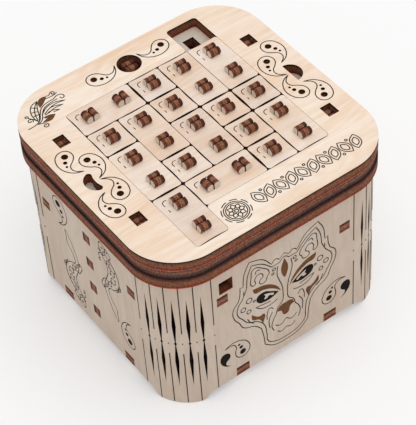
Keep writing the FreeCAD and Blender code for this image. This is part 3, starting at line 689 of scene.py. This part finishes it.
def corner_flourish():
    """A leafy branch in the back left corner: its lines, and its two filled leaves."""
    stem = [
        (-42.4, 32.2), (-40.0, 32.3), (-37.4, 33.3), (-35.6, 35.8), (-33.8, 37.9), (-31.0, 38.9),
        (-28.5, 39.1), (-26.6, 39.7), (-25.2, 39.2), (-25.0, 38.0), (-26.0, 37.6), (-26.4, 38.5),
    ]
    inner_stem = [(-38.8, 32.1), (-36.6, 33.1), (-35.0, 35.3), (-33.2, 37.2), (-30.6, 38.1), (-27.4, 38.3)]
    left_leaf = [
        (-33.2, 41.6, SHARP), (-36.0, 40.6), (-37.6, 38.4), (-38.2, 35.4), (-37.8, 32.9, SHARP),
        (-36.2, 35.4), (-35.0, 38.4),
    ]
    midrib = [(-37.7, 33.8), (-36.9, 36.8), (-35.4, 39.4), (-33.6, 41.2)]
    ribs = [
        [(-38.0, 36.0), (-37.1, 36.1), (-36.2, 35.9)],
        [(-37.5, 38.0), (-36.3, 37.6), (-35.4, 37.0)],
        [(-36.4, 40.0), (-35.5, 39.3), (-34.7, 38.6)],
    ]
    feathers = [
        [(-35.2, 35.2), (-32.4, 37.1), (-29.2, 37.5), (-25.6, 36.2, SHARP), (-29.6, 36.7), (-33.0, 35.7)],
        [(-34.6, 34.8), (-31.2, 36.2), (-27.2, 35.0, SHARP), (-30.6, 35.2), (-33.4, 34.4)],
        [(-34.6, 34.3), (-32.0, 34.9), (-29.4, 33.7, SHARP), (-31.8, 33.9)],
    ]
    curls = [
        curl(-27.3, 41.5, 0.9, 150, -1.2), curl(-40.0, 37.2, 0.7, -70, 1.1),
        curl(-39.9, 35.0, 1.1, -60, 1.2), curl(-36.9, 30.3, 1.1, 60, -1.2),
    ]
    tendrils = [
        [(-32.2, 39.6), (-30.8, 40.6), (-28.8, 40.5), (-27.0, 40.6), (-26.0, 41.0)],
        [(-29.6, 41.6), (-28.8, 41.4), (-28.1, 41.9)],
        [(-39.7, 36.5), (-38.7, 35.2), (-38.0, 33.6)],
        [(-38.4, 32.2), (-37.2, 31.7), (-36.4, 31.3)],
    ]
    strokes = [(left_leaf, True)]
    strokes += [(line, False) for line in [stem, inner_stem, midrib] + ribs + feathers + curls + tendrils]
    leaves = [
        [
            (-29.5, 41.6, SHARP), (-31.4, 42.0), (-33.1, 41.2), (-33.9, 39.7), (-34.1, 38.2, SHARP),
            (-32.2, 39.2),
        ],
        [
            (-31.6, 32.8, SHARP), (-33.4, 33.7), (-35.7, 33.9, SHARP), (-35.4, 33.1), (-33.6, 32.9, SHARP),
            (-35.2, 32.7), (-37.2, 32.0, SHARP), (-34.2, 31.2),
        ],
    ]
    return strokes, leaves


# Shares of a cell: the mark's size, its corner's distance from the tile's sides, and the dash
MARK_REACH = 0.15
MARK_SIDE = 0.17
MARK_BACK = 0.18
MARK_DASH = 0.55
MARK_WIDTH = 0.3


def mark_tile(node, body):
    """A rounded bracket in the tile's back left corner, and a dash beside it."""
    low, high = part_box(node)
    left = (low.x - MIDDLE.x) / MM
    back = (high.y - MIDDLE.y) / MM
    across = high.x - low.x > high.y - low.y
    reach = MARK_REACH * CELL
    x, y = left + MARK_SIDE * CELL, back - MARK_BACK * CELL
    bracket = [(x, y - reach * 1.2), (x, y - reach * 0.4), (x + reach * 0.4, y), (x + reach, y)]
    far = MARK_DASH * CELL
    if across:
        dash = [(left + far - reach / 3, y), (left + far + reach / 3, y)]
    else:
        dash = [(x, back - far + reach / 3), (x, back - far - reach / 3)]
    engrave(f"{node}_mark", [(bracket, False), (dash, False)], lid_place(), body, MARK_WIDTH)


def decorate_lid():
    strokes = [(drop_outline(*drop), True) for drop in lid_drops()]
    strokes += rosette(-12.0, -37.4)
    strokes += leaf_band(-5.4, 36.6, -37.2, 4.2)
    branch, leaves = corner_flourish()
    engrave("lid_engraving", strokes + branch, lid_place(), "lid")
    inlay("lid_leaves", leaves, lid_place(), BROWN_BURN, "lid")
    bodies = frame["record"]["behaviour"]["bodies"]
    for body, members in bodies.items():
        for node in members:
            if is_tile(node):
                mark_tile(node, body)


# Walls ---------------------------------------------------------------------------------------------

# The cat's face is drawn as its right half; heights are above the feet.
FACE_NOSE = [(0, 25.5), (2.5, 25.1), (3.5, 23.2, SHARP), (1.9, 22.6), (1.0, 20.2), (0, 19.7)]
# outer and inner edge, from the crown to the chin
FACE_EDGES = [
    [
        (0, 49.4, SHARP), (1.9, 47.8, SHARP), (3.5, 48.9), (5.0, 47.6, SHARP), (8.6, 52.4),
        (13.5, 54.6, SHARP), (15.6, 50.2), (16.2, 44.8, SHARP), (17.4, 45.2, SHARP), (17.6, 41.8),
        (18.3, 39.2, SHARP), (20.4, 36.6), (20.3, 32.4), (18.4, 28.8, SHARP), (16.8, 25.4),
        (12.4, 22.8), (10.0, 19.8, SHARP), (9.2, 15.4), (8.8, 10.8, SHARP), (5.2, 7.7), (0, 6.9),
    ],
    [
        (0, 47.7), (1.9, 46.3, SHARP), (4.9, 46.2, SHARP), (8.8, 50.4), (12.7, 52.4, SHARP),
        (14.3, 48.6), (14.9, 43.4, SHARP), (16.4, 39.8), (18.8, 36.0), (18.8, 32.8), (17.0, 29.6),
        (15.2, 26.8), (11.4, 24.4), (8.7, 20.6), (7.9, 15.6), (7.5, 11.6), (4.6, 9.2), (0, 8.5),
    ],
]
FACE_EAR = [
    (6.0, 44.4), (8.6, 48.4), (12.0, 50.2), (13.0, 46.8), (12.9, 43.0), (11.7, 42.6), (11.6, 45.2),
    (10.2, 46.6), (8.4, 44.6), (9.8, 43.0), (9.4, 41.4), (7.4, 41.6), (6.8, 43.2),
]
FACE_LINES = [
    # fold in the ear
    [(9.4, 48.2), (10.8, 48.6), (11.4, 47.4)],
    # bridge of the nose, eye socket and cheek
    [
        (2.6, 45.0), (3.0, 41.4), (2.2, 38.0), (1.3, 35.0), (0.9, 31.0), (1.2, 27.4), (3.2, 25.0),
        (3.9, 22.4),
    ],
    [(3.2, 29.6, SHARP), (6.0, 28.8), (9.4, 29.4), (11.8, 31.6, SHARP), (8.6, 31.0), (5.8, 30.4)],
    [(3.9, 22.4), (5.0, 20.6), (5.8, 17.6), (5.0, 14.8)],
    [(5.4, 24.6), (6.8, 21.6), (6.6, 17.4)],
    [(4.9, 26.0), (6.4, 27.2), (7.4, 25.4), (7.6, 22.4)],
    # muzzle and chin
    [(0, 17.6), (2.4, 15.9), (4.4, 17.2)],
    [(0, 13.2), (2.2, 12.4), (3.6, 13.6)],
    # hairs beside the edge
    [(16.0, 42.6), (16.2, 41.0)],
    [(12.6, 24.6), (14.0, 25.8), (15.2, 28.4)],
]
# (x, height, radius)
FACE_SPOTS = [
    (14.2, 36.8, 1.1), (16.6, 34.0, 0.95), (14.5, 31.6, 0.8), (4.1, 44.5, 0.6), (4.6, 42.7, 0.45),
    (12.2, 35.2, 0.4),
]
FACE_LEAF = [(0, 47.0, SHARP), (1.35, 42.8), (0.7, 39.0), (0, 37.9, SHARP)]
# brow and cheek
FACE_BROWN = [
    [
        (1.6, 32.6, SHARP), (3.4, 36.2), (7.6, 39.7), (12.7, 40.9, SHARP), (11.8, 38.5), (8.8, 38.0),
        (5.2, 36.2),
    ],
    [(8.7, 26.4), (10.4, 26.3), (13.5, 29.2, SHARP), (13.3, 26.6), (10.6, 24.8), (9.2, 21.8, SHARP)],
]
FACE_EYE = [
    (2.6, 33.0, SHARP), (5.4, 35.0), (8.6, 36.8), (11.2, 35.8), (10.6, 33.0), (7.6, 31.8), (5.0, 32.0),
]
FACE_GLINT = [
    (4.6, 33.1), (6.2, 34.7), (8.4, 35.6, SHARP), (7.9, 34.3), (8.4, 33.4), (7.2, 33.2), (6.6, 33.8),
]


def both_sides(outlines):
    return outlines + [mirrored(points) for points in outlines]


def whole(half):
    """A half outline that starts and ends on the middle line, closed by its mirror image."""
    return half + mirrored(half)[-2:0:-1]


def decorate_front():
    place = wall_place(0)
    edges = [(whole(half), True) for half in FACE_EDGES]
    lines = [(points, False) for points in both_sides(FACE_LINES)]
    ears = [(points, True) for points in both_sides([FACE_EAR])]
    rings = [(circle(x * side, y, r), True) for x, y, r in FACE_SPOTS for side in (-1, 1)]
    drops, dots, solid = drop_pair()
    engrave("front_engraving", edges + lines + ears + rings + drops, place, "case")
    brown = both_sides(FACE_BROWN) + [whole(FACE_LEAF), whole(FACE_NOSE)]
    inlay("mask_brown", brown, place, BROWN_BURN, "case")
    inlay("mask_eyes", both_sides([FACE_EYE]), place, BLACK_BURN, "case")
    lifted = place @ Matrix.Translation((0, 0, LINE_RISE))
    wall = bpy.data.materials["wall_birch"]
    glints = inlay("mask_glints", both_sides([FACE_GLINT]), lifted, wall, "case")
    inlay("front_dots", dots + solid, place, BLACK_BURN, "case")


def drop_pair():
    """The open and the solid drop beside each foot of a wall: lines, dots and solid shapes."""
    lines, dots, solid = [], [], []
    for side in (-1, 1):
        across, along = (-0.75 * side, 0.66), (0.66 * side, 0.75)
        lines.append((drop_outline(17.7 * side, 14.3, across, along), True))
        dots += drop_dots(17.7 * side, 14.3, across, along)
        solid.append(drop_outline(24.3 * side, 16.4, (side, 0.1), (-0.15 * side, -1), 0.64))
    return lines, dots, solid


# (x, y, half width) down the middle of the lizard, from its snout to the tip of its tail
LIZARD_SPINE = [
    (8.6, 23.8, 0.6), (9.2, 21.8, 1.7), (9.8, 19.4, 1.5), (12.0, 17.0, 1.9), (14.0, 13.4, 2.8),
    (13.8, 9.6, 3.0), (11.6, 6.4, 2.3), (9.6, 4.0, 1.2), (9.2, 0.8, 1.0), (10.3, -2.2, 1.3),
    (12.0, -4.8, 1.7), (12.7, -7.5, 1.1), (13.7, -10.4, 0.12),
]


def spine_outline(spine):
    """The closed outline of a body given by points of its middle line with its half widths."""
    left, right = [], []
    for number, (x, y, half) in enumerate(spine):
        before = spine[max(number - 1, 0)]
        after = spine[min(number + 1, len(spine) - 1)]
        run = Vector((after[0] - before[0], after[1] - before[1])).normalized()
        left.append((x - run.y * half, y + run.x * half))
        right.append((x + run.y * half, y - run.x * half))
    return left + right[::-1]


def lizard():
    """A scroll lizard beside the middle of a side wall, drawn about the column of tabs."""
    strokes = [(spine_outline(LIZARD_SPINE), True)]
    for x, y, half in LIZARD_SPINE[2:8]:
        strokes.append((circle(x, y, half * 0.42), True))
        strokes.append((circle(x + half * 0.5, y + 1.5, 0.22), True))
        strokes.append((circle(x - half * 0.5, y - 1.2, 0.22), True))
    strokes.append((circle(9.3, 21.8, 0.4), True))
    legs = [
        [(9.4, 18.6), (7.6, 18.2), (6.8, 16.4), (7.6, 15.4)],
        [(12.4, 18.8), (13.8, 20.4), (12.8, 22.0), (11.8, 21.4)],
        [(11.0, 6.8), (8.6, 6.6), (7.0, 4.4), (6.4, 2.0), (7.4, 1.2), (8.0, 2.4)],
        [(15.4, 7.8), (17.2, 7.6), (18.0, 9.4)],
    ]
    ridges = [[(13.6, 18.4), (16.2, 15.6), (17.4, 12.0)], [(17.2, 10.6), (16.8, 7.8), (15.2, 5.6)]]
    toes = [
        curl(7.2, 14.6, 0.8, 60, 1.0), curl(11.4, 22.4, 0.8, -60, 1.0), curl(7.6, 2.2, 0.7, 250, 1.0),
        curl(7.6, 19.8, 0.8, 30, -1.0), curl(17.6, 9.6, 0.7, 90, 1.0), curl(12.6, 15.0, 0.9, 0, 1.0),
    ]
    strokes += [(line, False) for line in legs + ridges + toes]
    return strokes


TAB_COLUMN_MIDDLE = 30.7
SIDE_LINE_WIDTH = 0.36


def decorate_side(name, turn, flip):
    """Two lizards and two drops; flip is -1 where the front is at the right."""
    place = wall_place(turn)
    lines, dots = [], []
    for half in (-1, 1):
        for points, closed in lizard():
            turned = [(p[0] * half * flip, TAB_COLUMN_MIDDLE + p[1] * half) for p in points]
            lines.append((turned, closed))
    upper = (-16.0 * flip, 51.6, (flip, 0), (0, -1), 1.15)
    lower = (19.6 * flip, 15.6, (-flip, 0), (0, 1), 1.1)
    for drop in (upper, lower):
        lines.append((drop_outline(*drop), True))
        dots += drop_dots(*drop)
    engrave(f"{name}_engraving", lines, place, "case", SIDE_LINE_WIDTH)
    inlay(f"{name}_dots", dots, place, BLACK_BURN, "case")


def decorate_back():
    """Only the drops beside the feet."""
    drops, dots, solid = drop_pair()
    place = wall_place(2)
    engrave("back_engraving", drops, place, "case")
    inlay("back_dots", dots + solid, place, BLACK_BURN, "case")


# Heights: where the upper lines end and the lower ones start, and the ends of the dash between
KERF_WIDTH = 0.36
KERF_UPPER = 35.5
KERF_LOWER = 25.5
KERF_DASH = (30.75, 30.25)
KERF_FOOT = 0.4
KERF_SUNK = 0.1


def kerf_angles():
    """Angle and lower end of each line: halfway between the bending slots, and where the corner
    meets its straight walls, above the arch."""
    for step in (-1.5, -0.5, 0.5, 1.5):
        yield 45 + SLOT_STEP * step, KERF_FOOT
    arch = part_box("base_plate")[0].z / MM
    yield 0, arch
    yield 90, arch


def cut_corner_kerfs():
    """Thin lines that run down from the top and up from the feet, between the bending slots."""
    curve = bpy.data.curves.new("corner_kerfs", "CURVE")
    curve.dimensions = "3D"
    curve.bevel_depth = KERF_WIDTH / 2
    curve.bevel_resolution = 1
    curve.use_fill_caps = True
    centre = WALL_HALF - WALL_CORNER
    reach = WALL_CORNER - KERF_WIDTH * KERF_SUNK
    for side_x in (-1, 1):
        for side_y in (-1, 1):
            for angle, foot in kerf_angles():
                x = (centre + reach * math.cos(math.radians(angle))) * side_x
                y = (centre + reach * math.sin(math.radians(angle))) * side_y
                for top, bottom in ((WALL_TOP, KERF_UPPER), (KERF_LOWER, foot), KERF_DASH):
                    spline = curve.splines.new("POLY")
                    spline.points.add(1)
                    spline.points[0].co = (x, y, top, 1)
                    spline.points[1].co = (x, y, bottom, 1)
    place = Matrix.Translation((MIDDLE.x, MIDDLE.y, 0)) @ Matrix.Scale(MM, 4)
    made_mesh("corner_kerfs", curve, place, LINE_BURN, "case")


decorate_lid()
decorate_front()
decorate_side("left", 3, 1)
decorate_side("right", 1, 1)
decorate_back()
cut_corner_kerfs()


# Floor, light and camera ---------------------------------------------------------------------------

FLOOR_SIZE = 12
FLOOR_GREY = 0.69
FLOOR_GLOW = 0.31
SKY_STRENGTH = 0.66
OVERHEAD_PLACE = (0.1, -0.25, 1.5)
OVERHEAD_TARGET = (0, 0, 0.04)
OVERHEAD_SIZE = 1.6
OVERHEAD_POWER = 9.0


def floor_material():
    """Pale paper that glows a little, so that the shadow on it stays light."""
    material = bpy.data.materials.new("pale_floor")
    material.use_nodes = True
    inputs = material.node_tree.nodes["Principled BSDF"].inputs
    inputs["Base Color"].default_value = (FLOOR_GREY, FLOOR_GREY, FLOOR_GREY, 1)
    inputs["Roughness"].default_value = 0.8
    inputs["Specular IOR Level"].default_value = 0.0
    inputs["Emission Color"].default_value = (1, 1, 1, 1)
    inputs["Emission Strength"].default_value = FLOOR_GLOW
    return material


def make_floor():
    bpy.ops.object.select_all(action="DESELECT")
    bpy.ops.mesh.primitive_plane_add(size=FLOOR_SIZE)
    floor = bpy.context.object
    floor.name = "floor"
    floor.data.materials.append(floor_material())


def area_light(name, place, target, size, power):
    data = bpy.data.lights.new(name, "AREA")
    data.shape = "DISK"
    data.size = size
    data.energy = power
    light = bpy.data.objects.new(name, data)
    light.location = place
    light.rotation_euler = (Vector(target) - Vector(place)).to_track_quat("-Z", "Y").to_euler()
    bpy.context.scene.collection.objects.link(light)


def light_scene():
    world = bpy.data.worlds.new("studio")
    world.use_nodes = True
    background = world.node_tree.nodes["Background"]
    background.inputs["Color"].default_value = (1.0, 1.0, 1.0, 1)
    background.inputs["Strength"].default_value = SKY_STRENGTH
    bpy.context.scene.world = world
    area_light("overhead", OVERHEAD_PLACE, OVERHEAD_TARGET, OVERHEAD_SIZE, OVERHEAD_POWER)
    bpy.context.scene.view_settings.view_transform = "Standard"


CAMERA_PLACE = Vector((-220.0, -345.25, 470.7)) * MM
CAMERA_TARGET = Vector((-19.15, -36.76, 71.0)) * MM
CAMERA_ROLL = math.radians(-4.44)
CAMERA_LENS = 152.6


def make_camera():
    data = bpy.data.cameras.new("camera")
    data.lens = CAMERA_LENS
    data.sensor_width = 36
    data.clip_start = 0.01
    data.clip_end = 50
    camera = bpy.data.objects.new("camera", data)
    forward = (CAMERA_TARGET - CAMERA_PLACE).normalized()
    right = forward.cross(Vector((0, 0, 1))).normalized()
    up = right.cross(forward)
    cosine, sine = math.cos(CAMERA_ROLL), math.sin(CAMERA_ROLL)
    rolled_right = right * cosine + up * sine
    rolled_up = up * cosine - right * sine
    turn = Matrix((rolled_right, rolled_up, -forward)).transposed()
    camera.matrix_world = Matrix.Translation(CAMERA_PLACE) @ turn.to_4x4()
    bpy.context.scene.collection.objects.link(camera)
    bpy.context.scene.camera = camera


make_floor()
light_scene()
make_camera()
